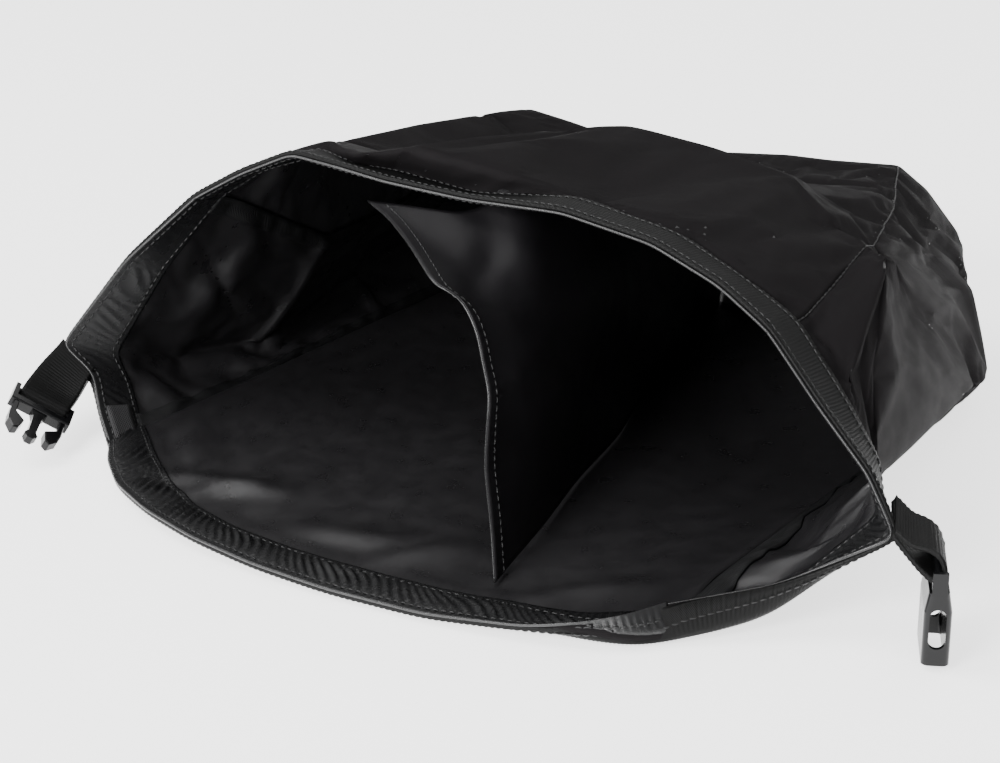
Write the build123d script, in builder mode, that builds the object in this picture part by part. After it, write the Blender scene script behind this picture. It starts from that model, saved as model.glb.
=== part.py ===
"""Roll-top shoe bag with gussets, a divider and a side-release buckle, lying on its wide panel.

The mouth faces -Y and the closed end +Y.  Z = 0 is the surface that the bag lies on, and the
origin is on that surface, between the two long floor seams.  All sizes are millimetres.
"""
from build123d import *
from math import cos, radians, sin
import os

# ---- driving dimensions ----
CLOTH = 1.5  # modelled thickness of the coated cloth, which stands for a much thinner sheet
FACING = 1.0  # modelled thickness of the folded hem inside the mouth
WEB = 1.5  # webbing thickness
WEB_WIDTH = 20.0  # webbing width, which is also the width of the band round the mouth
TAPE = 0.8  # thickness of the seam bindings and of the patches at the mouth's corners
TAPE_WIDTH = 8.0  # seam binding width

END_Y = 168.0  # inner face of the closed end
FLOOR_LEFT, FLOOR_RIGHT = -126.0, 127.0  # the two long seams of the wide lower panel
LIP_Y = -106.0  # where those seams reach the mouth
LIP_FRONT = -160.0  # the lower panel's lip bows out as far as this
LIP_ROUND = 24.0  # corner radius of the bowed lip

BAR_R = 1.6  # webbing bars of both buckle halves
BAR_CLEARANCE = 0.3  # the webbing turns on a bar with this radial gap
BODY_GAP = 0.3  # gap between parts that move apart
SEWN_GAP = 0.2  # gap left between two sewn layers, because their surfaces twist differently
BUCKLE_HALF_W = 12.4  # half width of both buckle halves
RAIL_W = 1.8  # width of the rails that carry the webbing bar
CROSSBAR_Y = (4.6, 8.2)  # front crossbar of the plug half, measured from its webbing bar
PLUG_T = 5.0  # thickness of the plug half's frame
GUIDE_END = 26.0  # tip of the plug half's middle guide, measured from its webbing bar
PRONG_END = 25.0  # tips of the two prongs
SOCKET_T = 9.0  # thickness of the socket half
SOCKET_Y = (4.6, 30.0)  # socket shell, measured from its webbing bar
SOCKET_HALL = (21.4, 5.8)  # clear width and height of the socket

# Cross-sections of the cloth shell, from the mouth to the closed end.  Each is drawn on a plane
# through (0, y, 0), leaned back by an angle in degrees, as points (x, distance up the plane):
# left floor seam, left gusset crease, left top seam, two ridge points, right top seam, right
# gusset crease, right floor seam.
SECTIONS = {
    "mouth": (-106, 30, [(-126, 0), (-165, 33), (-122, 103), (-50, 125), (45, 127),
                         (133, 101), (197, 44), (127, 0)]),
    "band": (-90, 26, [(-126, 0), (-161, 37), (-124, 104), (-50, 131), (38, 134),
                       (136, 104), (190, 46), (127, 0)]),
    "heel": (-45, 18, [(-126, 0), (-150, 38), (-127, 98), (-55, 118), (32, 125),
                       (139, 102), (176, 46), (127, 0)]),
    "waist": (20, 8, [(-125, 0), (-138, 38), (-128, 86), (-60, 96), (30, 115),
                      (136, 99), (160, 46), (128, 0)]),
    "toe": (92, 3, [(-125, 0), (-134, 36), (-128, 79), (-60, 80), (32, 98),
                    (112, 90), (151, 42), (130, 0)]),
    "end": (END_Y, 0, [(-122, 0), (-126, 35), (-126, 76), (-60, 68), (20, 72),
                       (76, 80), (118, 42), (126, 0)]),
}
ALONG = list(SECTIONS)
ROUND_THE_MOUTH = ALONG[:2]
LEFT, TOP, RIGHT = (0, 2), (2, 5), (5, 7)  # the outline points that each panel spans

# Divider: centre lines of its front edge and of its closed-end edge, drawn the same way.
DIVIDER_T = 2.0
DIVIDER_FRONT = (-122, 36, [(66, 2.0), (50, 49), (30, 88), (-34, 124)])
DIVIDER_BACK = (END_Y - 2.5, 0, [(-8, 1.6), (-8, 28), (-9, 46), (-14, 60)])

# Webbing tails at the two gusset creases of the mouth: root, direction of pull, upper face.
LEFT_ROOT = Vector(-151.5, -99.3, 31.6)
LEFT_PULL = Vector(0, -0.709, -0.705).normalized()
LEFT_FACE = Vector(0.736, -0.478, 0.479)
LEFT_LENGTH = 22.7
LEFT_HANG = Vector(0.509, -0.843, -0.178)  # the way that the plug half points from its bar
RIGHT_ROOT = Vector(202.9, -87.4, 40.2)
RIGHT_PULL = Vector(0.676, 0.359, -0.643).normalized()
RIGHT_FACE = Vector(0.568, 0.302, 0.765)
RIGHT_LENGTH = 13.0


def section_plane(y, lean):
    """Plane through (0, y, 0) leaned back: local x is world X, local y runs up the plane."""
    a = radians(lean)
    return Plane(origin=(0, y, 0), x_dir=(1, 0, 0), z_dir=(0, -cos(a), sin(a)))


def parallel(points, distance, base):
    """The outline moved inwards by a distance, mitred, with both ends cut at height base."""
    lines = []
    for (x0, h0), (x1, h1) in zip(points[:-1], points[1:]):
        length = ((x1 - x0) ** 2 + (h1 - h0) ** 2) ** 0.5
        ex, eh = (x1 - x0) / length, (h1 - h0) / length
        lines.append((x0 + eh * distance, h0 - ex * distance, ex, eh))

    def meet(a, b):
        t = ((b[0] - a[0]) * b[3] - (b[1] - a[1]) * b[2]) / (a[2] * b[3] - a[3] * b[2])
        return (a[0] + a[2] * t, a[1] + a[3] * t)

    floor = (0, base, 1, 0)
    corners = [meet(a, b) for a, b in zip(lines[:-1], lines[1:])]
    return [meet(lines[0], floor), *corners, meet(lines[-1], floor)]


def strip(name, span, near, far, base):
    """Closed profile between two parallels of a cross-section, over a span of its points."""
    _, lean, points = SECTIONS[name]
    rise = base / cos(radians(lean))
    first, last = span
    outer = parallel(points, near, rise)[first:last + 1]
    inner = parallel(points, far, rise)[first:last + 1]
    return outer + inner[::-1]


def beside(name, corner, neighbour, start, width, depth, thickness):
    """Four-sided profile that lies on the shell's inside, beside one of its corners."""
    _, lean, points = SECTIONS[name]
    inner = parallel(points, depth, CLOTH / cos(radians(lean)))
    (x0, h0), (x1, h1) = inner[corner], inner[neighbour]
    length = ((x1 - x0) ** 2 + (h1 - h0) ** 2) ** 0.5
    ex, eh = (x1 - x0) / length, (h1 - h0) / length
    way_in = 1 if neighbour > corner else -1
    nx, nh = eh * way_in, -ex * way_in
    return [(x0 + ex * s + nx * t, h0 + eh * s + nh * t)
            for s, t in ((start, 0), (start + width, 0), (start + width, thickness),
                         (start, thickness))]


def loft_between(profiles):
    """Straight-sided lofts from each (plane, closed profile) to the next."""
    faces = []
    for plane, points in profiles:
        with BuildSketch(plane) as profile:
            with BuildLine():
                Polyline(*points, close=True)
            make_face()
        faces.append(profile.sketch)
    for pair in zip(faces[:-1], faces[1:]):
        loft(pair, ruled=True)


def skin(names, span, near, far, base=CLOTH):
    """Shell wall between two depths, over a span of the outline, along the named sections."""
    loft_between([(section_plane(*SECTIONS[n][:2]), strip(n, span, near, far, base))
                  for n in names])


def inside_strip(names, corner, neighbour, start, width, depth, thickness):
    """Narrow strip that runs along the shell's inside, beside one of its seams."""
    loft_between([(section_plane(*SECTIONS[n][:2]),
                   beside(n, corner, neighbour, start, width, depth, thickness))
                  for n in names])


def lip_outline(back, inset=0):
    """Outline of the lower panel, with its bowed front lip, as far back as y = back."""
    corners = parallel([
        (FLOOR_LEFT, back), (FLOOR_LEFT, LIP_Y), (FLOOR_LEFT + 34, LIP_FRONT),
        (FLOOR_RIGHT - 26, LIP_FRONT), (FLOOR_RIGHT, LIP_Y), (FLOOR_RIGHT, back),
    ], -inset, back)
    FilletPolyline(*corners, radius=LIP_ROUND - inset)
    Line(corners[-1], corners[0])


def lip_band(height, thickness, mode=Mode.ADD):
    """Flat band, one webbing width wide, that follows the bowed lip up to the floor seams."""
    back = LIP_Y + WEB_WIDTH
    with BuildSketch(Plane.XY.offset(height)) as band:
        with BuildLine():
            lip_outline(back)
        make_face()
        with BuildLine():
            lip_outline(back, WEB_WIDTH)
        make_face(mode=Mode.SUBTRACT)
        with Locations((0, LIP_Y)):
            Rectangle(400, 200, align=(Align.CENTER, Align.MIN), mode=Mode.SUBTRACT)
    extrude(band.sketch, amount=thickness, mode=mode)


def tail_planes(root, pull, face, length):
    """Side plane of a webbing tail at its root, and the face plane of the buckle on its bar."""
    across = pull.cross(face).normalized()
    side = Plane(origin=root, x_dir=pull, z_dir=across)
    top = Plane(origin=root + pull * length, x_dir=across, z_dir=across.cross(pull))
    return side, top


def webbing_tail(side, length):
    """Doubled webbing from its sewn root to a loop round a buckle's bar."""
    eye = BAR_R + BAR_CLEARANCE
    with BuildSketch(side) as profile:
        Rectangle(length, 2 * WEB, align=(Align.MIN, Align.CENTER))
        with Locations((length, 0)):
            Circle(eye + WEB)
            Circle(eye, mode=Mode.SUBTRACT)
    extrude(profile.sketch, amount=WEB_WIDTH / 2, both=True)


def webbing_bar(plane, reach):
    """Round bar across a buckle half, and the two rails that join it to y = reach."""
    bar_end = Plane(origin=plane.origin, x_dir=plane.y_dir, z_dir=plane.x_dir)
    with BuildSketch(bar_end) as bar:
        Circle(BAR_R)
    extrude(bar.sketch, amount=BUCKLE_HALF_W - RAIL_W / 2, both=True)
    with BuildSketch(plane.offset(-PLUG_T / 2)) as rails:
        for end in (-1, 1):
            with Locations((end * (BUCKLE_HALF_W - RAIL_W / 2), (reach - 2.6) / 2)):
                Rectangle(RAIL_W, reach + 2.6)
    extrude(rails.sketch, amount=PLUG_T)


pieces = {}


def keep(name, builder):
    """Label a finished piece and put it on the list of files to write."""
    builder.part.label = name
    pieces[name] = builder.part


# ---- cloth shell ----
with BuildPart() as bottom_panel:
    with BuildSketch():
        with BuildLine():
            lip_outline(END_Y + CLOTH)
        make_face()
    extrude(amount=CLOTH)
    lip_band(0, CLOTH, mode=Mode.SUBTRACT)
keep("bottom_panel", bottom_panel)

with BuildPart() as top_panel:
    skin(ALONG, TOP, 0, CLOTH)
keep("top_panel", top_panel)

with BuildPart() as left_gusset:
    skin(ALONG, LEFT, 0, CLOTH)
keep("left_gusset", left_gusset)

with BuildPart() as right_gusset:
    skin(ALONG, RIGHT, 0, CLOTH)
keep("right_gusset", right_gusset)

with BuildPart() as end_panel:
    with BuildSketch(section_plane(END_Y, 0)):
        with BuildLine():
            Polyline(*parallel(SECTIONS["end"][2], 0, CLOTH), close=True)
        make_face()
    extrude(amount=-CLOTH)
keep("end_panel", end_panel)

with BuildPart() as divider:
    half = DIVIDER_T / 2
    loft_between([
        (section_plane(y, lean),
         [(x - half, h) for x, h in line] + [(x + half, h) for x, h in line[::-1]])
        for y, lean, line in (DIVIDER_FRONT, DIVIDER_BACK)])
keep("divider", divider)

# ---- folded hem inside the mouth ----
with BuildPart() as hem_bottom:
    lip_band(CLOTH, FACING)
keep("hem_bottom", hem_bottom)

for hem_name, hem_span in (("hem_left", LEFT), ("hem_top", TOP), ("hem_right", RIGHT)):
    with BuildPart() as hem:
        skin(ROUND_THE_MOUTH, hem_span, CLOTH + SEWN_GAP, CLOTH + SEWN_GAP + FACING,
             base=CLOTH + FACING)
    keep(hem_name, hem)

# ---- webbing sewn round the outside of the mouth ----
with BuildPart() as webbing_upper:
    skin(ROUND_THE_MOUTH, (1, 6), -WEB - SEWN_GAP, -SEWN_GAP)
keep("webbing_upper", webbing_upper)

with BuildPart() as webbing_lower:
    lip_band(0, WEB)
    for span, seam, out in (((0, 1), FLOOR_LEFT, -1), ((6, 7), FLOOR_RIGHT, 1)):
        skin(ROUND_THE_MOUTH, span, -WEB - SEWN_GAP, -SEWN_GAP, base=0)
        with BuildSketch() as turn:  # where the strip turns from the lip up the gusset
            with BuildLine():
                Polyline((seam + out * 2, LIP_Y + 10), (seam, LIP_Y + 10), (seam, LIP_Y),
                         (seam - out * 3, LIP_Y), (seam - out * 2, LIP_Y - 6),
                         (seam + out * 2, LIP_Y), close=True)
            make_face()
        extrude(turn.sketch, amount=WEB)
keep("webbing_lower", webbing_lower)

# ---- bindings over the seams, and the patches over their ends at the mouth ----
for tape_name, corner, neighbour in (("binding_upper_left", 2, 1), ("binding_upper_right", 5, 6),
                                     ("binding_lower_left", 0, 1), ("binding_lower_right", 7, 6)):
    with BuildPart() as binding:
        inside_strip(ALONG[1:], corner, neighbour, 2, TAPE_WIDTH, CLOTH + SEWN_GAP, TAPE)
    keep(tape_name, binding)

with BuildPart() as binding_end:
    clear = CLOTH + TAPE + 2 * SEWN_GAP
    with BuildSketch(section_plane(END_Y, 0)):
        for depth, mode in ((clear, Mode.ADD), (clear + TAPE_WIDTH, Mode.SUBTRACT)):
            with BuildLine():
                Polyline(*parallel(SECTIONS["end"][2], depth, depth), close=True)
            make_face(mode=mode)
    extrude(amount=TAPE)
keep("binding_end", binding_end)

for patch_name, corner, neighbour in (("patch_left", 0, 1), ("patch_right", 7, 6)):
    with BuildPart() as patch:
        inside_strip(ROUND_THE_MOUTH, corner, neighbour, 4, 12,
                     CLOTH + FACING + 2 * SEWN_GAP, TAPE)
    keep(patch_name, patch)

# ---- webbing tails and the two halves of the side-release buckle ----
left_side, plug_plane = tail_planes(LEFT_ROOT, LEFT_PULL, LEFT_FACE, LEFT_LENGTH)
right_side, socket_plane = tail_planes(RIGHT_ROOT, RIGHT_PULL, RIGHT_FACE, RIGHT_LENGTH)
# Each half turns on its bar: the plug half lies flatter than its tail, and the socket half hangs
# straight down.
plug_plane = Plane(origin=plug_plane.origin, x_dir=plug_plane.x_dir,
                   z_dir=plug_plane.x_dir.cross(LEFT_HANG))
socket_plane = Plane(origin=socket_plane.origin, x_dir=socket_plane.x_dir,
                     z_dir=socket_plane.x_dir.cross(Vector(0, 0, -1)))

with BuildPart() as left_tail:
    webbing_tail(left_side, LEFT_LENGTH)
keep("left_tail", left_tail)

with BuildPart() as right_tail:
    webbing_tail(right_side, RIGHT_LENGTH)
keep("right_tail", right_tail)

with BuildPart() as plug_frame:
    webbing_bar(plug_plane, CROSSBAR_Y[1])
    with BuildSketch(plug_plane.offset(-PLUG_T / 2)):
        with Locations((0, sum(CROSSBAR_Y) / 2)):
            Rectangle(2 * BUCKLE_HALF_W, CROSSBAR_Y[1] - CROSSBAR_Y[0])
    extrude(amount=PLUG_T)
    across = Axis(plug_plane.origin, plug_plane.x_dir)
    fillet(plug_frame.edges().filter_by(GeomType.LINE).filter_by(across), 0.8)
    with BuildSketch(plug_plane.offset(-1.6)):
        with BuildLine():
            Polyline((-3.4, CROSSBAR_Y[1] - 0.5), (-1.8, CROSSBAR_Y[1] + 4),
                     (-1.6, GUIDE_END - 4.2), (-2.6, GUIDE_END - 2.6), (-1.2, GUIDE_END),
                     (1.2, GUIDE_END), (2.6, GUIDE_END - 2.6), (1.6, GUIDE_END - 4.2),
                     (1.8, CROSSBAR_Y[1] + 4), (3.4, CROSSBAR_Y[1] - 0.5), close=True)
        make_face()
    extrude(amount=3.2)
keep("plug_frame", plug_frame)

for prong_name, side in (("prong_left", 1), ("prong_right", -1)):
    root = CROSSBAR_Y[1] + BODY_GAP
    with BuildPart() as prong:
        with BuildSketch(plug_plane.offset(-2.1)):
            with BuildLine():
                FilletPolyline(
                    (side * 8.7, root), (side * 10.9, root), (side * 11, root + 8),
                    (side * 10.4, PRONG_END - 4), (side * 7.6, PRONG_END),
                    (side * 5.6, PRONG_END - 1.5), (side * 4.4, PRONG_END - 7),
                    (side * 8.6, root + 6), radius=0.5, close=True)
            make_face()
        extrude(amount=4.2)
        height = Axis(plug_plane.origin, plug_plane.z_dir)
        chamfer(prong.faces().sort_by(height)[-1].edges(), 0.4)
        chamfer(prong.faces().sort_by(height)[0].edges(), 0.4)
    keep(prong_name, prong)

with BuildPart() as socket_shell:
    hall_w, hall_t = SOCKET_HALL
    with BuildSketch(Plane(origin=socket_plane.origin + socket_plane.y_dir * SOCKET_Y[0],
                           x_dir=socket_plane.x_dir, z_dir=socket_plane.y_dir)):
        RectangleRounded(2 * BUCKLE_HALF_W, SOCKET_T - 2.4, 2.4)
    with BuildSketch(Plane(origin=socket_plane.origin + socket_plane.y_dir * (SOCKET_Y[0] + 7),
                           x_dir=socket_plane.x_dir, z_dir=socket_plane.y_dir)):
        RectangleRounded(2 * BUCKLE_HALF_W, SOCKET_T, 2.4)
    loft()
    with BuildSketch(Plane(origin=socket_plane.origin + socket_plane.y_dir * (SOCKET_Y[0] + 7),
                           x_dir=socket_plane.x_dir, z_dir=socket_plane.y_dir)):
        RectangleRounded(2 * BUCKLE_HALF_W, SOCKET_T, 2.4)
    extrude(amount=SOCKET_Y[1] - SOCKET_Y[0] - 7)
    with BuildSketch(Plane(origin=socket_plane.origin + socket_plane.y_dir * (SOCKET_Y[0] + 3),
                           x_dir=socket_plane.x_dir, z_dir=socket_plane.y_dir)):
        RectangleRounded(hall_w, hall_t, 1.0)
    extrude(amount=SOCKET_Y[1], mode=Mode.SUBTRACT)
    with BuildSketch(Plane(origin=socket_plane.origin, x_dir=socket_plane.y_dir,
                           z_dir=socket_plane.x_dir)):
        with Locations((SOCKET_Y[0] + 12.5, 0)):
            SlotOverall(14, 5.4)
    extrude(amount=BUCKLE_HALF_W + 1, both=True, mode=Mode.SUBTRACT)
    webbing_bar(socket_plane, SOCKET_Y[0] + 0.5)
keep("socket_shell", socket_shell)

os.makedirs("parts", exist_ok=True)
for name, part in pieces.items():
    export_step(part, f"parts/{name}.step")
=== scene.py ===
from math import cos, pi, radians, sin

import bpy
import numpy as np
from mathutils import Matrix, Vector


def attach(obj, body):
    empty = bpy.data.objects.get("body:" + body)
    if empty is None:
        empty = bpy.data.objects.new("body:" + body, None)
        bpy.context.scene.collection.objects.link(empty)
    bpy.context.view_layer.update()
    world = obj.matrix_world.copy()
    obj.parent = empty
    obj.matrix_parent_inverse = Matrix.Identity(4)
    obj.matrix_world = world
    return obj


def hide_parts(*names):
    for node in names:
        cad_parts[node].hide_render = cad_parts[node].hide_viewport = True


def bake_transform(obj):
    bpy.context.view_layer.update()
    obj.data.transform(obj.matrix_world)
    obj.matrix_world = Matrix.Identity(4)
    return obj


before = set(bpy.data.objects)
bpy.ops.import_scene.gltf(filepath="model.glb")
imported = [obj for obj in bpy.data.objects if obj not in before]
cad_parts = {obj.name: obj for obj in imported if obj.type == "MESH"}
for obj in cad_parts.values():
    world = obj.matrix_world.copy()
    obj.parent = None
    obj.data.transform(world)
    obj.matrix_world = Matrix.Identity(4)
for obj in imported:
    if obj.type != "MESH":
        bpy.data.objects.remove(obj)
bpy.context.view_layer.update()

# ---- sizes, in millimetres; meshes are turned into metres where they are made ----
MM = 0.001
CLOTH = 0.5           # thickness of the coated cloth
WEB_WIDTH = 20.0      # webbing and hem width
WEB = 1.3             # webbing thickness
RIB = 1.4             # pitch of the webbing's cross ribs
TAPE_WIDTH = 9.0      # seam binding width
HEM = 0.55            # thickness of the folded hem
STITCH = 3.0          # stitch length, with its gap
THREAD = 0.32         # thread radius
FAR_Y = 168.0         # closed end

CAMERA_TURN = 34.2    # degrees to the right of the mouth
CAMERA_RISE = 22      # degrees above the floor
CAMERA_AIM = (-0.028, 0.020, 0.0)  # metres; the camera is one metre from it

DRAPE_SLACK = 0.022   # share by which the rest cloth is larger than the shape
DRAPE_FRAMES = 15
DRAPE_CAP = 5         # the furthest that the simulation may move a point

# ---- the shell of the bag: rows of points from the mouth's rim to the closed end ----
# Each row goes from the left floor seam up the left gusset, over the top panel and down the
# right gusset to the right floor seam.
SEAM_L, SEAM_R = 5, 14  # the columns of the two upper seams
SHELL_ROWS = {
    "rim": [(-126, -106, 1.5), (-136, -100, 10), (-147, -91, 21), (-165, -89, 29), (-146, -69, 63),
            (-122, -54, 89), (-104, -48, 100), (-83, -42, 110), (-59, -44, 109.5), (-36, -45, 108),
            (0, -44, 107), (41, -43, 109), (80, -45, 105), (110, -50, 97), (133, -56, 87),
            (156, -62, 67), (180, -72, 52), (197, -84, 38), (162, -98, 17), (134, -121, 11.5)],
    "band": [(-126, -87, 0.5), (-133, -82, 6), (-142, -76, 13), (-152, -72, 23), (-139, -54, 57),
             (-122, -37, 86), (-106, -29, 98), (-83, -23, 106), (-62, -27, 104), (-41, -29, 106),
             (-5, -29, 103), (37, -25, 108), (80, -27, 103), (111, -32, 93), (133, -36, 84),
             (158, -46, 64), (175, -56, 50), (183, -68, 36), (152, -94, 1.5), (131, -103, 1.2)],
    "facet": [(-125.5, -78, 0.3), (-132, -72, 5), (-141, -64, 11), (-151, -59, 18), (-137, -44, 51),
              (-123, -28, 82), (-107, -18, 98.5), (-84, -15, 107), (-58, -33, 113.5), (-31, -36, 121),
              (8, -28, 114), (41, -19, 108.5), (82, -21, 104.5), (112, -27, 94.5), (133, -28, 84),
              (156, -38, 67), (170, -49, 49), (178, -58, 35), (151, -80, 4), (127, -78, 0.3)],
    "valley": [(-125, -60, 0.3), (-131, -52, 4), (-139, -46, 8), (-150, -40, 12), (-133, -20, 42),
               (-124, -10, 72), (-110, 0, 94), (-90, 5, 99), (-60, 0, 104), (-21, -2, 119.5),
               (14, 0, 109), (46, 8, 105), (88, 0, 100), (114, -12, 94), (133, -12, 88),
               (151, -18, 80), (163, -38, 57), (174, -52, 36), (150, -62, 9), (127, -66, 0.3)],
    "crest": [(-125, -10, 0.3), (-129, -6, 3), (-135, -2, 6), (-142, 2, 10), (-128, 18, 31),
              (-124, 30, 49), (-122, 40, 90), (-104, 42, 88), (-62, 42, 86), (-8, 37, 114.5),
              (9, 57, 112), (46, 58, 108.5), (84, 51, 102.5), (110, 37, 98), (131, 21, 95),
              (145, 10, 95), (158, -18, 67), (171, -45, 37), (148, -46, 8), (127, -50, 0.3)],
    "behind": [(-125, 60, 0.3), (-129, 62, 5), (-134, 64, 10), (-140, 66, 20), (-132, 76, 34),
               (-128, 86, 48), (-121, 93, 85), (-98, 90, 80), (-62, 84, 73), (-8, 80, 83),
               (16, 86, 88), (48, 84, 88), (78, 76, 88), (104, 58, 88), (127, 36, 90),
               (147, 14, 94), (141, 54, 56), (143, 113, 12), (136, 100, 5), (128, 90, 0.3)],
    "toe": [(-124, 115, 0.3), (-127, 116, 6), (-131, 118, 12), (-138, 120, 24), (-131, 125, 40),
            (-128, 130, 55), (-118, 135, 81), (-95, 135, 76), (-62, 130, 69), (-14, 128, 70),
            (14, 128, 75), (44, 128, 78), (66, 126, 80), (84, 120, 82), (102, 104, 83),
            (127, 84, 77), (130, 124, 49), (136, 129, 16), (131, 130, 6), (127, 130, 0.3)],
    "end": [(-122, 168, 0.3), (-124, 168, 6), (-126, 168, 12), (-127, 168, 24), (-127, 168, 43),
            (-126, 168, 60), (-114, 168.6, 76), (-90, 169, 73), (-60, 168, 69), (-24, 168, 70),
            (-2, 168, 73), (22, 168, 76), (42, 168, 77), (58, 168, 78.5), (74, 168, 80),
            (88, 167, 72), (104, 166, 56), (116, 163, 15), (115, 166, 7), (114, 167, 0.3)],
}

# The lower panel's lip, from the left floor seam to the right one.
LIP = [(-126, -106, 1.5), (-113, -121, 3), (-92, -139, 5), (-66, -152, 6), (-38, -159.5, 5.5),
       (-8, -162, 4), (24, -161.5, 3), (62, -158, 3), (97, -151, 5.5), (115, -145, 8.5),
       (127, -134.5, 10.5), (134, -121, 11.5)]

# The divider's free front edge, from the floor to the top panel.
DIVIDER_FRONT = [(68, -124, 2.5), (57, -110, 15), (46, -98, 31), (39, -85, 50), (31, -80, 72),
                 (21, -76, 84), (13, -81, 87), (-1, -71, 91), (-16, -60, 94), (-32, -50, 97),
                 (-45, -44, 98.5)]
DIVIDER_FLAP = [(-45, -44, 98.5), (-24, -43.5, 100), (-6, -42, 100.5), (2, -34, 101)]
DIVIDER_FLOOR_END = (-8, 165, 0.8)

# The left gusset's inward fold: start, end, depth and width.
GUSSET_FOLD = ((-128, -24, 42), (-130, -64, 14), 16, 9)

# Folds on the lower panel near the mouth, given in the same way.
FLOOR_FOLDS = [((-88, -120, 0), (-40, -104, 0), 4.5, 5), ((-70, -132, 0), (-52, -98, 0), 3.5, 4),
               ((-112, -70, 0), (-86, -105, 0), 3.0, 7), ((-20, -128, 0), (30, -112, 0), 2.5, 7),
               ((20, -136, 0), (48, -100, 0), 2.2, 5), ((80, -130, 0), (110, -96, 0), 2.5, 6)]

# The belly of webbing at the mouth's right corner.
BELLY_CENTRE = (133, -120)
BELLY_RADIUS = 34
BELLY_PUSH = (6.0, -10.5)  # how far its middle moves in X and Y


# ---- small tools for arrays ----
def spread(points, count, axis=0):
    """The polyline through the points, cut into equal steps of its own length."""
    points = np.moveaxis(np.asarray(points, float), axis, 0)
    step = np.linalg.norm(np.diff(points, axis=0), axis=-1)
    while step.ndim > 1:
        step = step.mean(axis=-1)
    at = np.concatenate([[0], np.cumsum(step + 1e-9)])
    where = np.linspace(0, at[-1], count)
    low = np.clip(np.searchsorted(at, where, side="right") - 1, 0, len(at) - 2)
    share = ((where - at[low]) / (at[low + 1] - at[low])).reshape((-1,) + (1,) * (points.ndim - 1))
    return np.moveaxis(points[low] * (1 - share) + points[low + 1] * share, 0, axis)


def soften(grid, sigma, axis):
    """Gaussian average along one axis, which keeps both ends where they are."""
    if sigma <= 0:
        return grid
    grid = np.moveaxis(grid, axis, 0)
    reach = min(int(3 * sigma) + 1, len(grid) - 1)
    before = 2 * grid[0] - grid[reach:0:-1]
    after = 2 * grid[-1] - grid[-2:-reach - 2:-1]
    wide = np.concatenate([before, grid, after])
    weight = np.exp(-0.5 * (np.arange(-reach, reach + 1) / sigma) ** 2)
    weight /= weight.sum()
    out = sum(w * wide[i:i + len(grid)] for i, w in enumerate(weight))
    return np.moveaxis(out, 0, axis)


def unit(v):
    """Vectors scaled to length one."""
    return v / np.maximum(np.linalg.norm(v, axis=-1, keepdims=True), 1e-9)


def grid_normals(grid):
    """Unit normal at each grid point, from the cross product of the two grid directions."""
    along = np.gradient(grid, axis=0)
    across = np.gradient(grid, axis=1)
    return unit(np.cross(across, along))


def waves(shape, step, length, seed, skew=0.0):
    """Smooth random field between -1 and 1 on a grid: sines of random direction and phase."""
    rng = np.random.default_rng(seed)
    v, u = np.meshgrid(np.arange(shape[0]) * step[0], np.arange(shape[1]) * step[1], indexing="ij")
    total = np.zeros(shape)
    for _ in range(7):
        angle = rng.uniform(-0.7, 0.7) + skew
        wave = length * rng.uniform(0.6, 1.7)
        phase = rng.uniform(0, 2 * pi)
        total += np.sin(2 * pi * (u * cos(angle) + v * sin(angle)) / wave + phase)
    return total / 7 * 1.6


def fold(grid, normals, start, end, height, width):
    """Raises a ridge along a straight line: a Gaussian across it, fading out at both ends."""
    start, end = np.array(start, float), np.array(end, float)
    axis = end - start
    t = np.clip((grid - start) @ axis / (axis @ axis), 0, 1)
    away = np.linalg.norm(grid - (start + t[..., None] * axis), axis=-1)
    lift = height * np.exp(-(away / width) ** 2) * np.sqrt(np.sin(pi * np.clip(t, 0.04, 0.96)))
    return grid + lift[..., None] * normals


# ---- meshes ----
def add_mesh(name, points, faces, uv=None, smooth=True):
    """A mesh object from millimetre points and faces, with an optional UV point per vertex."""
    mesh = bpy.data.meshes.new(name)
    mesh.from_pydata((np.asarray(points) * MM).tolist(), [], np.asarray(faces).tolist())
    if uv is not None:
        corner = np.zeros(len(mesh.loops), np.int32)
        mesh.loops.foreach_get("vertex_index", corner)
        layer = mesh.uv_layers.new(name="cloth")
        layer.data.foreach_set("uv", (np.asarray(uv)[corner] * MM).astype(np.float32).ravel())
    mesh.polygons.foreach_set("use_smooth", [smooth] * len(mesh.polygons))
    mesh.update()
    obj = bpy.data.objects.new(name, mesh)
    bpy.context.scene.collection.objects.link(obj)
    return obj


def grid_faces(rows, columns, closed=False, first=0):
    """Quads of a grid, whose rows may close on themselves."""
    r = np.arange(rows - 1)[:, None]
    c = np.arange(columns if closed else columns - 1)[None, :]
    a = r * columns + c
    b = r * columns + (c + 1) % columns
    quads = np.stack([a, b, b + columns, a + columns], axis=-1).reshape(-1, 4)
    return quads + first


def lengths(grid):
    """UV of a grid in millimetres: mean distance along each of its two directions."""
    v = np.concatenate([[0], np.cumsum(np.linalg.norm(np.diff(grid, axis=0), axis=-1).mean(1))])
    u = np.concatenate([[0], np.cumsum(np.linalg.norm(np.diff(grid, axis=1), axis=-1).mean(0))])
    return np.stack(np.meshgrid(u, v), axis=-1).reshape(-1, 2)


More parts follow.
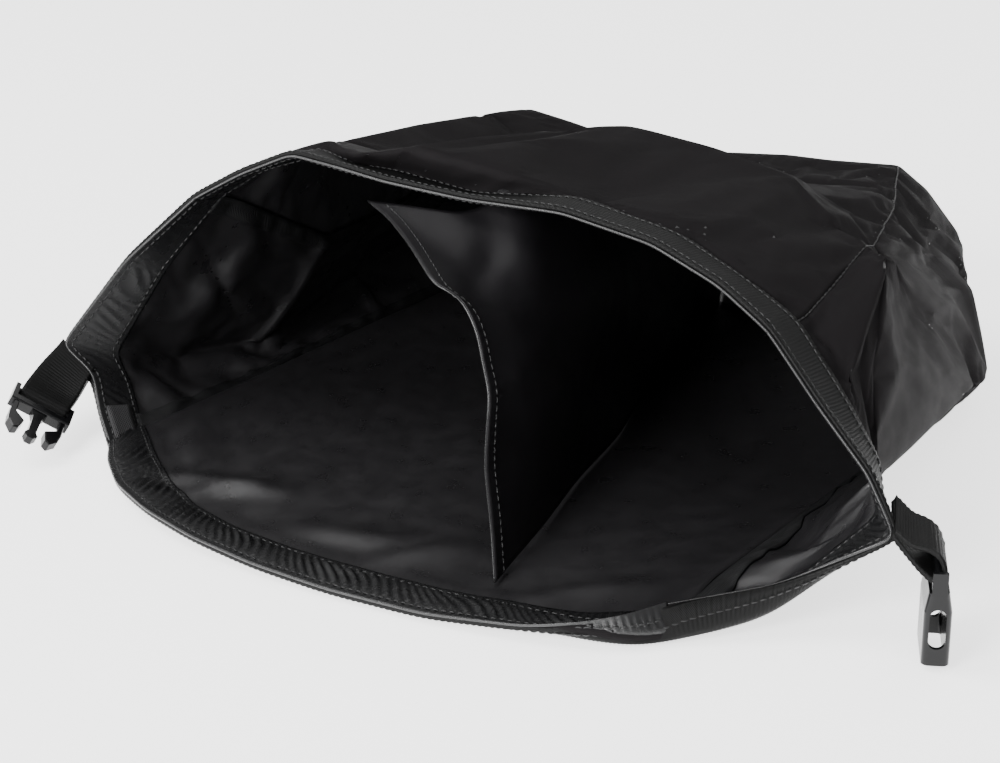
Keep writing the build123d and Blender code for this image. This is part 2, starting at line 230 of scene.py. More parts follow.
def thick_sheet(name, outer, inner):
    """Closed sheet between two grids of the same shape, with a wall round its border.  Both are
    mirrored when needed, so that the faces look outwards."""
    if np.sum(grid_normals(outer) * (outer - inner)) < 0:
        outer, inner = outer[:, ::-1], inner[:, ::-1]
    rows, columns = outer.shape[:2]
    count = rows * columns
    faces = [grid_faces(rows, columns), grid_faces(rows, columns)[:, ::-1] + count]
    top = np.arange(columns)
    side = np.arange(rows) * columns
    border = np.concatenate([top[:-1], side[:-1] + columns - 1,
                             (top + (rows - 1) * columns)[:0:-1], side[:0:-1]])
    after = np.roll(border, -1)
    faces.append(np.stack([after, border, border + count, after + count], axis=-1))
    uv = lengths(outer)
    points = np.concatenate([outer.reshape(-1, 3), inner.reshape(-1, 3)])
    return add_mesh(name, points, np.concatenate(faces), np.concatenate([uv, uv]))


def cloth_sheet(name, grid, thickness=CLOTH):
    """Sheet of one thickness about a grid."""
    half = grid_normals(grid) * thickness / 2
    return thick_sheet(name, grid + half, grid - half)


# ---- the shell's surface ----
BAND_ROWS = 8               # grid rows from the rim to the back edge of the webbing
U_LEFT, U_RIGHT = 55, 163   # grid columns of the two upper seams
RIGHT_COLUMNS = 72          # grid columns of the right gusset


def fine_shell():
    """The rows of points joined by straight facets on a fine grid, with softened folds."""
    rows = np.array(list(SHELL_ROWS.values()), float)
    parts = [spread(rows[:, a:b + 1], n, axis=1)
             for a, b, n in ((0, SEAM_L, U_LEFT + 1), (SEAM_L, SEAM_R, U_RIGHT - U_LEFT + 1),
                             (SEAM_R, rows.shape[1] - 1, RIGHT_COLUMNS))]
    wide = np.concatenate([parts[0], parts[1][:, 1:], parts[2][:, 1:]], axis=1)
    steps = (BAND_ROWS + 1, 5, 8, 18, 22, 20, 16)  # grid rows between one row of points and the next
    bands = [spread(wide[i:i + 2], n, axis=0)[:-1] for i, n in enumerate(steps)]
    return np.concatenate(bands + [wide[-1:]])


shell = fine_shell()
shell = soften(soften(shell, 0.9, 0), 1.0, 1)
inwards = np.where(grid_normals(shell)[20, 110, 2] < 0, 1.0, -1.0) * grid_normals(shell)
inwards[:, :5] *= np.array([0, 0.15, 0.4, 0.7, 0.9])[:, None]  # the floor seam stays in place
shell = fold(shell, inwards, *GUSSET_FOLD)


def drape(grid):
    """Cloth simulation of the shell.  The rest cloth is a little larger than the shape, and
    its seams, band and closed end hold it, so that the slack goes into small creases."""
    rows, columns = grid.shape[:2]
    obj = add_mesh("drape", grid.reshape(-1, 3), grid_faces(rows, columns))
    hold = np.full((rows, columns), 0.05)
    hold[:BAND_ROWS + 1] = 1
    hold[-2:] = 1
    hold[:, [0, 1, U_LEFT, U_RIGHT, columns - 2, columns - 1]] = 1
    group = obj.vertex_groups.new(name="hold")
    flat = hold.ravel()
    for value in np.unique(flat):
        group.add(np.flatnonzero(flat == value).tolist(), float(value), "REPLACE")
    cloth = obj.modifiers.new("cloth", "CLOTH")
    cloth.settings.quality = 6
    cloth.settings.mass = 0.15
    cloth.settings.tension_stiffness = 20
    cloth.settings.compression_stiffness = 20
    cloth.settings.shear_stiffness = 10
    cloth.settings.bending_stiffness = 0.6
    cloth.settings.shrink_min = -DRAPE_SLACK
    cloth.settings.vertex_group_mass = "hold"
    cloth.settings.pin_stiffness = 3
    cloth.settings.effector_weights.gravity = 0
    cloth.collision_settings.use_collision = False
    for number in range(1, DRAPE_FRAMES + 1):
        bpy.context.scene.frame_set(number)
    posed = obj.evaluated_get(bpy.context.evaluated_depsgraph_get())
    out = np.zeros(rows * columns * 3, np.float32)
    posed.data.vertices.foreach_get("co", out)
    bpy.data.objects.remove(obj)
    bpy.context.scene.frame_set(1)
    moved = out.reshape(grid.shape) / MM - grid
    far = np.linalg.norm(moved, axis=-1, keepdims=True)
    return grid + moved * np.minimum(1, DRAPE_CAP / np.maximum(far, 1e-6))


def bulge(grid):
    """Lets the webbing hang in a belly at the mouth's right corner: its middle rows move out and
    down, by a Gaussian of the distance from the corner."""
    grid = grid.copy()
    near = grid[:BAND_ROWS + 1]
    away = np.linalg.norm(near[..., :2] - np.array(BELLY_CENTRE), axis=-1)
    share = np.sin(pi * np.linspace(0, 1, BAND_ROWS + 1)) ** 0.8
    share = share[:, None] * np.exp(-(away / BELLY_RADIUS) ** 2)
    near[..., 0] += BELLY_PUSH[0] * share
    near[..., 1] += BELLY_PUSH[1] * share
    near[..., 2] -= np.maximum(near[..., 2] - 1.6, 0) * share * 0.8
    return grid


shell = drape(shell)
shell[:, U_RIGHT:] = bulge(shell)[:, U_RIGHT:]
normal = grid_normals(shell)  # points out of the bag
if normal[20, 110, 2] < 0:
    normal = -normal

top = shell[:, U_LEFT:U_RIGHT + 1]
left = shell[:, :U_LEFT + 1]
right = shell[:, U_RIGHT:]


# ---- lights, camera, floor ----
def set_stage():
    """Camera three-quarter from the right of the mouth, soft white light, pale floor."""
    turn, rise = radians(CAMERA_TURN), radians(CAMERA_RISE)
    back = Vector((sin(turn) * cos(rise), -cos(turn) * cos(rise), sin(rise)))
    data = bpy.data.cameras.new("camera")
    data.lens = 88.2
    data.sensor_width = 36
    data.shift_y = 0.0185
    camera = bpy.data.objects.new("camera", data)
    camera.location = Vector(CAMERA_AIM) + back
    camera.rotation_mode = "QUATERNION"
    camera.rotation_quaternion = (-back).to_track_quat("-Z", "Y")
    bpy.context.scene.collection.objects.link(camera)
    bpy.context.scene.camera = camera
    world = bpy.data.worlds.new("studio")
    world.use_nodes = True
    world.node_tree.nodes["Background"].inputs["Color"].default_value = (1, 1, 1, 1)
    world.node_tree.nodes["Background"].inputs["Strength"].default_value = 0.6
    bpy.context.scene.world = world
    for name, place, size, power in (("key", (-0.9, -0.5, 1.5), 1.0, 22),
                                     ("rim", (0.2, 1.5, 1.2), 0.9, 6),
                                     ("front", (-0.1, -1.6, 0.8), 0.7, 42)):
        light = bpy.data.lights.new(name, "AREA")
        light.size = size
        light.energy = power
        lamp = bpy.data.objects.new(name, light)
        lamp.location = place
        lamp.rotation_mode = "QUATERNION"
        lamp.rotation_quaternion = (Vector((0, 0, 0.04)) - Vector(place)).to_track_quat("-Z", "Y")
        bpy.context.scene.collection.objects.link(lamp)
    floor = add_mesh("floor", [(-6000, -6000, -0.3), (6000, -6000, -0.3), (6000, 6000, -0.3),
                               (-6000, 6000, -0.3)], [(0, 1, 2, 3)])
    floor.data.materials.append(plain_floor())


def plain_floor():
    """Plain pale floor, lifted towards white by a little light of its own."""
    material = bpy.data.materials.new("pale_floor")
    material.use_nodes = True
    shader = material.node_tree.nodes["Principled BSDF"]
    shader.inputs["Base Color"].default_value = (0.9, 0.9, 0.9, 1)
    shader.inputs["Roughness"].default_value = 0.7
    shader.inputs["Emission Color"].default_value = (1, 1, 1, 1)
    shader.inputs["Emission Strength"].default_value = 2.0
    return material


# ---- finishes ----
def new_group(name, inputs, outputs):
    """An empty shader node group with float inputs and the named outputs."""
    tree = bpy.data.node_groups.new(name, "ShaderNodeTree")
    for label, value in inputs:
        socket = tree.interface.new_socket(label, in_out="INPUT", socket_type="NodeSocketFloat")
        socket.default_value = value
    for label in outputs:
        tree.interface.new_socket(label, in_out="OUTPUT", socket_type="NodeSocketFloat")
    return tree, tree.nodes.new("NodeGroupInput"), tree.nodes.new("NodeGroupOutput")


def math_node(tree, operation, a, b=None):
    """A Math node whose inputs are sockets or numbers."""
    node = tree.nodes.new("ShaderNodeMath")
    node.operation = operation
    for slot, value in enumerate((a, b)):
        if value is None:
            continue
        if isinstance(value, (int, float)):
            node.inputs[slot].default_value = value
        else:
            tree.links.new(value, node.inputs[slot])
    return node.outputs[0]


def weave_group():
    """Plain weave on the piece's own UV map: warp and weft threads at a pitch in metres, and a
    slow mottle for handling marks.  Height is for a Bump node, Mottle is 0 to 1."""
    tree, given, result = new_group("weave", [("Pitch", 0.0004), ("Mottle Size", 90.0)],
                                    ["Height", "Mottle"])
    place = tree.nodes.new("ShaderNodeUVMap")
    place.uv_map = "cloth"
    split = tree.nodes.new("ShaderNodeSeparateXYZ")
    tree.links.new(place.outputs[0], split.inputs[0])
    threads = []
    for axis in (0, 1):
        turn = math_node(tree, "DIVIDE", split.outputs[axis], given.outputs["Pitch"])
        threads.append(math_node(tree, "SINE", math_node(tree, "MULTIPLY", turn, 2 * pi)))
    tree.links.new(math_node(tree, "MULTIPLY", threads[0], threads[1]), result.inputs["Height"])
    noise = tree.nodes.new("ShaderNodeTexNoise")
    noise.inputs["Detail"].default_value = 5
    tree.links.new(place.outputs[0], noise.inputs["Vector"])
    tree.links.new(given.outputs["Mottle Size"], noise.inputs["Scale"])
    tree.links.new(noise.outputs["Fac"], result.inputs["Mottle"])
    return tree


def crinkle_group():
    """Fine creases of handled coated cloth, from two scales of noise on Object coordinates."""
    tree, given, result = new_group("crinkle", [("Size", 60.0)], ["Height"])
    place = tree.nodes.new("ShaderNodeTexCoord")
    total = None
    for factor, weight in ((1.0, 0.7), (3.3, 0.3)):
        noise = tree.nodes.new("ShaderNodeTexNoise")
        noise.noise_type = "RIDGED_MULTIFRACTAL"
        noise.inputs["Detail"].default_value = 3
        tree.links.new(place.outputs["Object"], noise.inputs["Vector"])
        tree.links.new(math_node(tree, "MULTIPLY", given.outputs["Size"], factor),
                       noise.inputs["Scale"])
        part = math_node(tree, "MULTIPLY", noise.outputs["Fac"], weight)
        total = part if total is None else math_node(tree, "ADD", total, part)
    tree.links.new(total, result.inputs["Height"])
    return tree


WEAVE = weave_group()
CRINKLE = crinkle_group()


def finish(name, dark, light, rough, pitch, weave_depth, crinkle_depth=0.0, crinkle_size=60.0,
           specular=0.5, sheen=0.0, coat=0.0):
    """Woven finish: two shades mixed by the mottle, roughness between two values, and bump
    from the weave and the fine creases."""
    material = bpy.data.materials.new(name)
    material.use_nodes = True
    tree = material.node_tree
    shader = tree.nodes["Principled BSDF"]
    shader.inputs["Specular IOR Level"].default_value = specular
    shader.inputs["Sheen Weight"].default_value = sheen
    shader.inputs["Sheen Roughness"].default_value = 0.4
    shader.inputs["Coat Weight"].default_value = coat
    shader.inputs["Coat Roughness"].default_value = 0.3
    weave = tree.nodes.new("ShaderNodeGroup")
    weave.node_tree = WEAVE
    weave.inputs["Pitch"].default_value = pitch * MM
    shade = tree.nodes.new("ShaderNodeMix")
    shade.data_type = "RGBA"
    shade.inputs["A"].default_value = (*dark, 1)
    shade.inputs["B"].default_value = (*light, 1)
    tree.links.new(weave.outputs["Mottle"], shade.inputs["Factor"])
    tree.links.new(shade.outputs["Result"], shader.inputs["Base Color"])
    gloss = tree.nodes.new("ShaderNodeMapRange")
    gloss.inputs["From Min"].default_value = 0.3
    gloss.inputs["From Max"].default_value = 0.7
    gloss.inputs["To Min"].default_value = rough[0]
    gloss.inputs["To Max"].default_value = rough[1]
    tree.links.new(weave.outputs["Mottle"], gloss.inputs["Value"])
    tree.links.new(gloss.outputs[0], shader.inputs["Roughness"])
    bump = tree.nodes.new("ShaderNodeBump")
    bump.inputs["Distance"].default_value = weave_depth * MM
    bump.inputs["Strength"].default_value = 0.5
    tree.links.new(weave.outputs["Height"], bump.inputs["Height"])
    if crinkle_depth:
        crinkle = tree.nodes.new("ShaderNodeGroup")
        crinkle.node_tree = CRINKLE
        crinkle.inputs["Size"].default_value = crinkle_size
        creases = tree.nodes.new("ShaderNodeBump")
        creases.inputs["Distance"].default_value = crinkle_depth * MM
        creases.inputs["Strength"].default_value = 0.5
        tree.links.new(crinkle.outputs["Height"], creases.inputs["Height"])
        tree.links.new(creases.outputs["Normal"], bump.inputs["Normal"])
    tree.links.new(bump.outputs["Normal"], shader.inputs["Normal"])
    return material


def moulded(name, color, rough):
    """Moulded plastic: a fine pitted grain and a slight drift in gloss."""
    material = bpy.data.materials.new(name)
    material.use_nodes = True
    tree = material.node_tree
    shader = tree.nodes["Principled BSDF"]
    shader.inputs["Base Color"].default_value = (*color, 1)
    shader.inputs["Specular IOR Level"].default_value = 0.28
    place = tree.nodes.new("ShaderNodeTexCoord")
    grain = tree.nodes.new("ShaderNodeTexNoise")
    grain.inputs["Scale"].default_value = 2600
    grain.inputs["Detail"].default_value = 2
    tree.links.new(place.outputs["Object"], grain.inputs["Vector"])
    drift = tree.nodes.new("ShaderNodeTexNoise")
    drift.inputs["Scale"].default_value = 180
    tree.links.new(place.outputs["Object"], drift.inputs["Vector"])
    gloss = tree.nodes.new("ShaderNodeMapRange")
    gloss.inputs["To Min"].default_value = rough - 0.08
    gloss.inputs["To Max"].default_value = rough + 0.08
    tree.links.new(drift.outputs["Fac"], gloss.inputs["Value"])
    tree.links.new(gloss.outputs[0], shader.inputs["Roughness"])
    bump = tree.nodes.new("ShaderNodeBump")
    bump.inputs["Distance"].default_value = 0.03 * MM
    bump.inputs["Strength"].default_value = 0.3
    tree.links.new(grain.outputs["Fac"], bump.inputs["Height"])
    tree.links.new(bump.outputs["Normal"], shader.inputs["Normal"])
    return material


SHELL = finish("shell_cloth", (0.0070, 0.0063, 0.0068), (0.0115, 0.0104, 0.0111), (0.56, 0.68),
               0.35, 0.05, crinkle_depth=0.25, crinkle_size=28, specular=0.04)
# Inside faces: glossier coated cloth, with a base colour painted lighter than the outside's, as painted
# light that lifts the shaded inside of the bag.
LIT_INSIDE = finish("shell_inside_painted_light", (0.0090, 0.0086, 0.0094), (0.0160, 0.0152, 0.0165), (0.26, 0.36),
                0.35, 0.05, crinkle_depth=0.45, crinkle_size=30, specular=0.75)
LINING = finish("lining_cloth", (0.0050, 0.0046, 0.0054), (0.0090, 0.0082, 0.0094), (0.34, 0.44),
                0.35, 0.05, crinkle_depth=0.3, crinkle_size=35, specular=0.2)
HEM_CLOTH = finish("hem_cloth", (0.0055, 0.0055, 0.006), (0.0095, 0.0095, 0.010), (0.22, 0.32),
                   0.35, 0.05, crinkle_depth=0.35, crinkle_size=70, specular=0.6)
WEBBING = finish("webbing", (0.0030, 0.0030, 0.0030), (0.0055, 0.0055, 0.0055), (0.40, 0.52), 0.5,
                 0.15, specular=0.14)
BINDING = finish("seam_binding", (0.0035, 0.0035, 0.004), (0.006, 0.006, 0.0065), (0.5, 0.62), 0.9,
                 0.35, specular=0.3)
PATCH = finish("woven_patch", (0.010, 0.010, 0.0105), (0.030, 0.029, 0.031), (0.5, 0.65), 1.3, 0.6,
               specular=0.4)
THREAD_MAT = finish("thread", (0.005, 0.005, 0.005), (0.010, 0.010, 0.011), (0.35, 0.45), 0.3, 0.05)
PLASTIC = moulded("buckle_plastic", (0.0035, 0.0035, 0.004), 0.24)


def put(piece, material, slot, *nodes, body="bag"):
    """Gives a piece its finish, its body and the nodes that it stands for; its slot argument is not used.
    """
    piece.data.materials.append(material)
    if body:
        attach(piece, body)
    if nodes:
        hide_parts(*nodes)
    return piece


# ---- the lower panel and the closed end ----
def on_floor(points):
    """Lifts any point that would be under the surface that the bag lies on."""
    points = points.copy()
    points[..., 2] = np.maximum(points[..., 2], 0.03)
    return points


def fine_floor():
    """Lower panel: the lip curve, its back edge one webbing width in, then straight lines to
    the closed end; low waves and a few folds lie on it."""
    lip = soften(spread(LIP, 131), 1.5, 0)
    along = unit(np.gradient(lip, axis=0))
    inward = np.stack([-along[:, 1], along[:, 0], np.zeros(len(lip))], axis=1)
    share = np.linspace(0, 1, len(lip))
    side = np.clip(np.minimum(share, 1 - share) * 6, 0, 1)[:, None]
    inward = unit(inward * side + np.array([0, 1, 0]) * (1 - side))
    band = lip + inward * WEB_WIDTH
    band[:, 2] = WEB + CLOTH
    end = np.stack([shell[-1, 0, 0] + (shell[-1, -1, 0] - shell[-1, 0, 0]) * share,
                    np.full(len(lip), FAR_Y), np.full(len(lip), 0.3)], axis=1)
    near = np.linspace(lip, band, BAND_ROWS + 1)
    near[..., 2] = np.maximum(near[..., 2], WEB + CLOTH)
    rest = np.linspace(band, end, 108)[1:]
    grid = np.concatenate([near, rest])
    for row in range(BAND_ROWS + 1, len(grid)):  # both long edges follow the gussets' seams
        for side, out in ((0, -0.5), (-1, 0.5)):
            seam = shell[:, side]
            y = grid[row, side, 1]
            target = np.interp(y, seam[:, 1], seam[:, 0]) + out
            part = (1 - share) if side == 0 else share
            grid[row, :, 0] += (target - grid[row, side, 0]) * part
    ripple = waves(grid.shape[:2], (2.5, 2.5), 70, 5) * 0.9 + 0.6
    grid[BAND_ROWS + 3:-2, 2:-2, 2] = 0.4 + np.maximum(ripple, 0)[BAND_ROWS + 3:-2, 2:-2]
    up = np.zeros_like(grid)
    up[..., 2] = 1
    for start, end, height, width in FLOOR_FOLDS:
        grid = fold(grid, up, start, end, height, width)
    return soften(soften(grid, 1.0, 0), 1.0, 1)


floor_cloth = bulge(fine_floor())
lip_grid = floor_cloth[:BAND_ROWS + 1]


def fine_end():
    """Closed end: straight lines between the floor's end and the shell's last row."""
    rim = shell[-1]
    share = np.concatenate([[0], np.cumsum(np.linalg.norm(np.diff(rim, axis=0), axis=1))])
    share = (share / share[-1])[:, None]
    base = rim[0] * (1 - share) + rim[-1] * share
    t = np.linspace(0, 1, 24)[:, None, None]
    grid = base * (1 - t) + rim * t
    grid[..., 1] += 3 * np.sin(pi * t[..., 0]) * (1 + 0.5 * waves(grid.shape[:2], (3, 2.5), 60, 9))
    return grid


end_cloth = fine_end()

for name, grid, node, inward in (
        ("left_gusset_cloth", left, "left_gusset", (1, 0, 0)),
        ("top_panel_cloth", top, "top_panel", (0, 0, -1)),
        ("right_gusset_cloth", right, "right_gusset", (-1, 0, 0)),
        ("bottom_panel_cloth", floor_cloth, "bottom_panel", (0, 0, 1)),
        ("end_panel_cloth", end_cloth, "end_panel", (0, -1, 0))):
    half = grid_normals(grid) * CLOTH / 2
    piece = put(thick_sheet(name, on_floor(grid + half), on_floor(grid - half)), SHELL,
                "shell_cloth", node)
    piece.data.materials.append(LIT_INSIDE)  # the glossy coated face looks into the bag; its base colour is painted lighter, as painted light in the shaded inside
    faces = (grid.shape[0] - 1) * (grid.shape[1] - 1)
    away = np.zeros(len(piece.data.polygons) * 3, np.float32)
    piece.data.polygons.foreach_get("normal", away)
    glossy_first = (away.reshape(-1, 3)[:faces] @ np.array(inward)).sum() > 0
    which = np.zeros(len(piece.data.polygons), np.int32)
    which[slice(0, faces) if glossy_first else slice(faces, 2 * faces)] = 1
    piece.data.polygons.foreach_set("material_index", which)

set_stage()


# ---- webbing ----
def column_near(point):
    """The grid column whose rim point is nearest to a place on the rim."""
    return int(np.argmin(np.linalg.norm(shell[0] - np.array(point), axis=1)))


CORNER_L = column_near(SHELL_ROWS["rim"][3])
CORNER_R = column_near(SHELL_ROWS["rim"][17])


def resample(strip, outward, count, rows, sigma):
    """A strip and its outward directions, cut together into even steps and softened."""
    both = np.concatenate([strip, outward * 1e-3], axis=-1)
    both = soften(spread(spread(both, count, axis=1), rows, axis=0), sigma, 1)
    return both[..., :3], unit(both[..., 3:])


def ribbed_strip(name, strip, outward, rows=15, bead=0.32):
    """Ribbed webbing between a strip's surface and one thickness out from it.  Ribs run across
    the strip as rounded waves, broken along it, and both selvedges are rows of beads."""
    length = np.linalg.norm(np.diff(strip.mean(0), axis=0), axis=-1).sum()
    count = int(length / RIB * 4) + 1
    strip, outward = resample(strip, outward, count, rows, 6)
    u = np.arange(count)[None, :] * length / (count - 1)
    v = np.linspace(0, 1, rows)[:, None]
    edge = np.exp(-((np.minimum(v, 1 - v)) / 0.05) ** 2)
    rib = np.abs(np.cos(pi * u / RIB + pi / 2 * (np.round(v * (rows - 1)) % 2) * 0.35))
    height = WEB + 0.24 * rib * (1 - edge) + bead * edge * (np.abs(np.cos(pi * u / (1.6 * RIB))))
    low = -bead * edge * np.abs(np.cos(pi * u / (1.6 * RIB))) * 0.5
    return thick_sheet(name, on_floor(strip + outward * height[..., None]),
                       on_floor(strip + outward * low[..., None]))


skin_gap = CLOTH / 2 + 0.05
band = shell[:BAND_ROWS + 1]
band_out = normal[:BAND_ROWS + 1]
upper = slice(CORNER_L, CORNER_R + 1)
put(ribbed_strip("webbing_upper_strip", band[:, upper] + band_out[:, upper] * skin_gap,
                 band_out[:, upper]), WEBBING, "webbing", "webbing_upper")

down = np.zeros_like(lip_grid)
down[..., 2] = -1
lower_strip = np.concatenate([band[:, CORNER_L::-1], lip_grid[:, 1:-1], band[:, :CORNER_R - 1:-1]],
                             axis=1)
lower_out = np.concatenate([band_out[:, CORNER_L::-1], down[:, 1:-1],
                            band_out[:, :CORNER_R - 1:-1]], axis=1)
lower_out = unit(soften(lower_out, 3, 1))
lower_strip = soften(lower_strip, 2, 1)
put(ribbed_strip("webbing_lower_strip", lower_strip + lower_out * skin_gap, lower_out), WEBBING,
    "webbing", "webbing_lower")


# ---- folded hem inside the mouth ----
def hem_strip(strip, outward, pucker, seed, slant):
    """Inner hem: rolls over the rim as a half circle, then lies on the cloth's inside with
    slanting puckers that are deepest midway between its two rows of stitches."""
    length = np.linalg.norm(np.diff(strip.mean(0), axis=0), axis=-1).sum()
    count = int(length / 0.9) + 1
    rows = 24
    strip, outward = resample(strip, outward, count, rows, 2)
    u = np.arange(count)[None, :] * length / (count - 1)
    v = np.linspace(0, WEB_WIDTH, rows)[:, None]
    drift = waves((rows, count), (0.9, 0.9), 30, seed)
    strength = 0.55 + 0.45 * waves((rows, count), (0.9, 0.9), 45, seed + 1)
    mid = np.clip(np.sin(pi * np.clip((v - 2.2) / (WEB_WIDTH - 4.4), 0, 1)), 0, 1) ** 0.7
    crease = np.sin(2 * pi * (u + slant * v) / 8.5 + 4.2 * drift)
    crease = 1 - np.abs(crease) ** 0.8 * 2
    small = np.sin(2 * pi * (u - 0.3 * v) / 3.0 + 3 * drift)
    edge = np.exp(-((v - 2.5) / 1.5) ** 2) + np.exp(-((v - WEB_WIDTH + 2.5) / 1.5) ** 2)
    rise = pucker * (mid * crease * strength * 0.6 + 0.25 * edge * small + 0.45 * mid)
    base = CLOTH / 2 + 0.1
    face = strip - outward * (base + HEM + np.maximum(rise, -0.2))[..., None]
    back = strip - outward * (base + np.maximum(rise * 0.8, -0.05))[..., None]
    forward = unit(strip[0] - strip[2])
    radius = (base + HEM + CLOTH / 2 + 0.1) / 2
    centre = strip[0] - outward[0] * (base + HEM - CLOTH / 2 - 0.1) / 2
    turns = np.linspace(pi / 2, -pi / 2, 7)[:-1]
    roll_face = [centre + forward * radius * cos(a) + outward[0] * radius * sin(a) for a in turns]
    inner = radius - HEM * 0.8
    roll_back = [centre + forward * inner * cos(a) + outward[0] * inner * sin(a) for a in turns]
    return (on_floor(np.concatenate([roll_face, face])), on_floor(np.concatenate([roll_back, back])))


hems = {
    "hem_left": (band[:, :U_LEFT + 1], band_out[:, :U_LEFT + 1], 0.7, 21, 0.5),
    "hem_top": (band[:, U_LEFT:U_RIGHT + 1], band_out[:, U_LEFT:U_RIGHT + 1], 0.5, 31, 0.4),
    "hem_right": (band[:, U_RIGHT:], band_out[:, U_RIGHT:], 1.4, 41, -0.6),
    "hem_bottom": (lip_grid, down, 2.3, 51, 0.9),
}
for name, (strip, outward, pucker, seed, slant) in hems.items():
    face, back = hem_strip(strip, outward, pucker, seed, slant)
    put(thick_sheet(name + "_cloth", back, face), HEM_CLOTH, "hem_cloth", name)


# ---- divider ----
def fine_divider():
    """Divider: straight lines from the floor to the top panel, plus the free front edge's
    departure from its own straight line, which dies away towards the closed end."""
    front = soften(spread(DIVIDER_FRONT, 60), 1.0, 0)
    rows = 110
    t = np.linspace(0, 1, rows)
    roof_column = column_near((0, -44, 107))
    under = (shell - normal * 1.6)[BAND_ROWS + 4:, roof_column]
    roof = soften(spread(np.concatenate([DIVIDER_FLAP, under]), rows), 2, 0)
    floor_line = front[0] + (np.array(DIVIDER_FLOOR_END) - front[0]) * t[:, None]
    floor_line[:, 2] = np.maximum(1.1, floor_line[:, 2])
    w = np.linspace(0, 1, 60)[None, :, None]
    grid = floor_line[:, None] * (1 - w) + roof[:, None] * w
    straight = front[0] * (1 - w[0]) + front[-1] * w[0]
    away = (front - straight)[None] * np.exp(-t * 4.5)[:, None, None]
    grid = grid + away
    side = grid_normals(grid)
    grid = grid + side * (waves(grid.shape[:2], (2.6, 2.0), 60, 77)
                          * 2.5 * np.sin(pi * np.clip(t, 0, 1))[:, None])[..., None]
    grid = fold(grid, side, (22, -72, 82), (-8, 10, 98), 3.5, 5)
    grid = fold(grid, side, (38, -80, 52), (10, 20, 60), -3.0, 6)
    return soften(soften(grid, 1, 0), 1, 1)


divider = fine_divider()
side = grid_normals(divider)
put(cloth_sheet("divider_cloth", divider, 0.45), LINING, "divider_cloth", "divider")
fold_over = divider[:5]
put(thick_sheet("divider_hem", fold_over + side[:5] * 0.9, fold_over + side[:5] * 0.3), HEM_CLOTH,
    "divider_cloth")


# ---- seam bindings and patches ----
def lining_strip(name, grid, outward, near=CLOTH / 2 + 0.1, far=CLOTH / 2 + 0.9):
    """Tape that lies on the inside of a strip of the cloth."""
    return thick_sheet(name, on_floor(grid - outward * near), on_floor(grid - outward * far))


first = BAND_ROWS - 1
last = shell.shape[1]
for name, columns in (("binding_upper_left", slice(U_LEFT - 4, U_LEFT + 1)),
                      ("binding_upper_right", slice(U_RIGHT, U_RIGHT + 5)),
                      ("binding_lower_left", slice(0, 5)),
                      ("binding_lower_right", slice(last - 5, last))):
    put(lining_strip(name + "_tape", shell[first:-1, columns], normal[first:-1, columns]),
        BINDING, "seam_binding", name)

end_out = grid_normals(end_cloth)
if end_out[12, 100, 1] < 0:
    end_out = -end_out
middle = np.array([0, FAR_Y, 38.0])
t = np.linspace(0, 1, 5)[:, None, None]
end_ring = shell[-1] + (unit(middle - shell[-1]) * (1.5 + TAPE_WIDTH * t))
end_ring[..., 1] = FAR_Y - 0.6
put(thick_sheet("binding_end_tape", on_floor(end_ring), on_floor(end_ring - np.array([0, 0.8, 0]))),
    BINDING, "seam_binding", "binding_end")

for name, columns in (("patch_left", slice(0, 7)), ("patch_right", slice(last - 6, last))):
    put(lining_strip(name + "_tape", shell[1:7, columns], normal[1:7, columns], 1.3, 2.3),
        PATCH, "woven_patch", name)


# ---- stitches ----
def stitch_row(path, outward, lift, pitch=STITCH, size=THREAD):
    """Points and faces of a row of stitches: short six-sided spindles along a path, each
    bowed up in its middle and sunk into the cloth at its ends."""
    step = np.linalg.norm(np.diff(path, axis=0), axis=1)
    at = np.concatenate([[0], np.cumsum(step)])
    count = int(at[-1] / pitch)
    middle = (np.arange(count) + 0.5) * pitch
    centre = np.stack([np.interp(middle, at, path[:, i]) for i in range(3)], axis=1)
    out = unit(np.stack([np.interp(middle, at, outward[:, i]) for i in range(3)], axis=1))
    ahead = np.stack([np.interp(middle + 0.4, at, path[:, i]) for i in range(3)], axis=1)
    along = unit(ahead - centre)
    across = np.cross(out, along)
    x = np.array([-0.42, -0.34, -0.12, 0.12, 0.34, 0.42]) * pitch
    radius = np.array([0.25, 0.8, 1.0, 1.0, 0.8, 0.25]) * size
    height = np.array([-0.35, 0.0, 0.22, 0.22, 0.0, -0.35]) * size * 2
    turn = np.arange(6) * pi / 3
    y = radius[:, None] * np.cos(turn)
    z = radius[:, None] * np.sin(turn) + height[:, None] + lift
    points = (centre[:, None, None] + along[:, None, None] * x[None, :, None, None]
              + across[:, None, None] * y[None, :, :, None] + out[:, None, None] * z[None, :, :, None])
    shape = grid_faces(6, 6, closed=True)
    faces = (shape[None] + np.arange(count)[:, None, None] * 36).reshape(-1, 4)
    caps = np.array([[5, 4, 3, 2], [5, 2, 1, 0], [30, 31, 32, 33], [30, 33, 34, 35]])
    caps = (caps[None] + np.arange(count)[:, None, None] * 36).reshape(-1, 4)
    return points.reshape(-1, 3), np.concatenate([faces, caps])


def stitches(name, rows):
    """One piece from several rows of stitches."""
    points, faces, total = [], [], 0
    for row in rows:
        p, f = stitch_row(*row)
        points.append(p)
        faces.append(f + total)
        total += len(p)
    points = np.concatenate(points)
    uv = np.stack([points[:, 0], points[:, 1]], axis=1)
    piece = add_mesh(name, on_floor(points), np.concatenate(faces), uv)
    return put(piece, THREAD_MAT, "thread")


def between(strip, share):
    """A line that runs along a strip at a share of its width."""
    place = share * (len(strip) - 1)
    low = int(place)
    return strip[low] * (1 - place + low) + strip[min(low + 1, len(strip) - 1)] * (place - low)


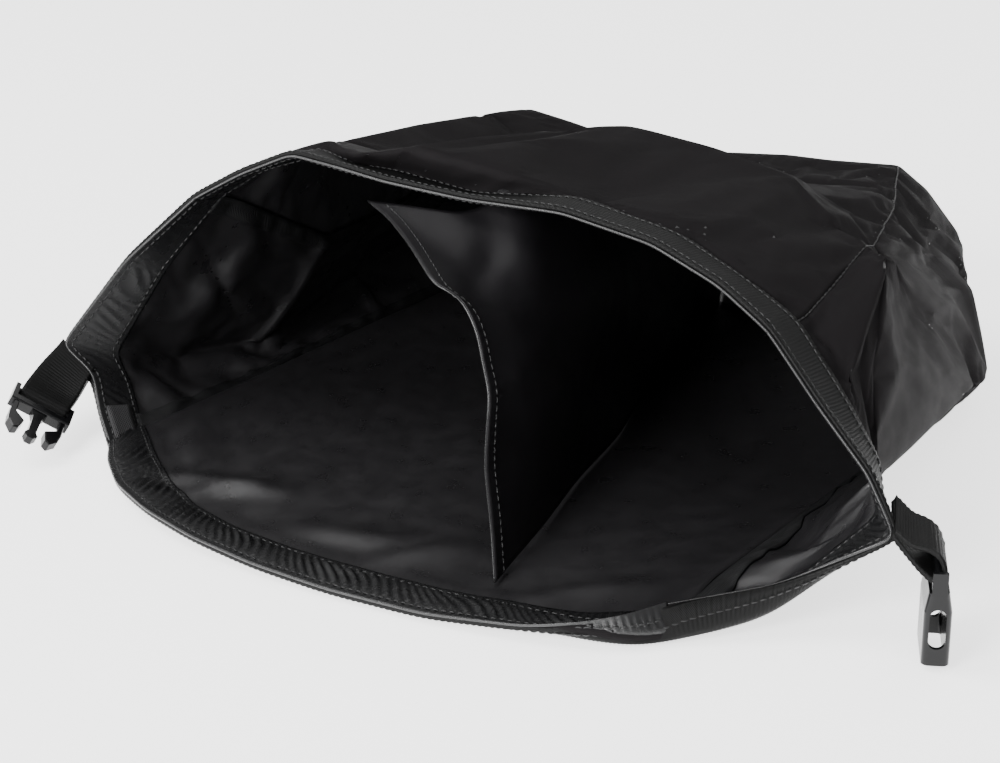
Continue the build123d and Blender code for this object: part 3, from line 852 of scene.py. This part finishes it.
inner_lift = CLOTH / 2 + 0.1 + HEM + 0.15
rows = []
for strip, outward, _, _, _ in hems.values():
    for share in (0.12, 0.88):
        rows.append((between(strip, share), -between(outward, share), inner_lift))
stitches("hem_stitches", rows)
rows = []
for strip, outward in ((band[:, upper], band_out[:, upper]), (lower_strip, lower_out)):
    for share in (0.12, 0.88):
        rows.append((between(strip, share), between(outward, share), CLOTH / 2 + WEB + 0.2))
stitches("webbing_stitches", rows)
stitches("divider_stitches", [(divider[3], side[3], 0.9), (divider[3], -side[3], 0.25)])
seams = []
for column in (U_LEFT, U_RIGHT):
    seams.append((shell[first:, column], normal[first:, column], 0.3))
stitches("seam_stitches", seams)


# ---- webbing tails ----
def tail(name, root, root_across, bar, across, strands):
    """Doubled webbing from the rim to a buckle's bar: out along one strand, round the bar and back
    along the other.  Its width turns from the rim's direction to the bar's on the way."""
    root, bar = np.array(root, float), np.array(bar, float)
    across, root_across = unit(np.array(across, float)), unit(np.array(root_across, float))
    length = np.linalg.norm(bar - root)
    pull = unit(bar - root)
    pull = unit(pull - across * (pull @ across))
    reach = 2.0
    angles = np.linspace(radians(115), radians(-115), 15)
    line = np.array([*strands[0], *[(length + reach * cos(a), reach * sin(a)) for a in angles],
                     *strands[1]])
    line = soften(spread(line, 160), 3, 0)
    share = np.clip(line[:, :1] / length, 0, 1)
    width_way = unit(root_across * (1 - share) + across * share)
    up = np.cross(width_way, unit((bar - root) * (1 - share) + pull * share))
    path = root + (bar - root) * (line[:, :1] / length) + unit(up) * line[:, 1:]
    along = unit(np.gradient(path, axis=0))
    outward = unit(np.cross(along, width_way))
    outward *= np.sign((outward[3] @ up[3]))
    width = np.linspace(-WEB_WIDTH / 2, WEB_WIDTH / 2, 9)[:, None, None]
    strip = path[None] + width_way[None] * width
    piece = ribbed_strip(name + "_webbing", strip, np.broadcast_to(outward, strip.shape).copy())
    piece.data.materials.append(WEBBING)
    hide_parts(name)
    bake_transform(piece)


tail("left_tail", (-157, -92, 23.5), (-0.91, 0.10, 0.40), (-151.5, -115.4, 15.6),
     (-0.677, -0.519, 0.522), (((-5, 0.15), (9, 0.5), (18, 0.4)), ((18, -0.4), (9, -0.5), (-5, -0.15))))
tail("right_tail", (196, -78, 40), (0.44, -0.88, -0.19), (211.7, -82.7, 31.8),
     (0.469, -0.883, 0), (((-4, 0.2), (4, 0.6), (9, 4.0), (14, 5.0)), ((12, -2.2), (4, -1.2), (-4, -0.2))))

for node in ("plug_frame", "prong_left", "prong_right", "socket_shell"):
    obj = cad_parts[node]
    obj.data.materials.clear()
    obj.data.materials.append(PLASTIC)
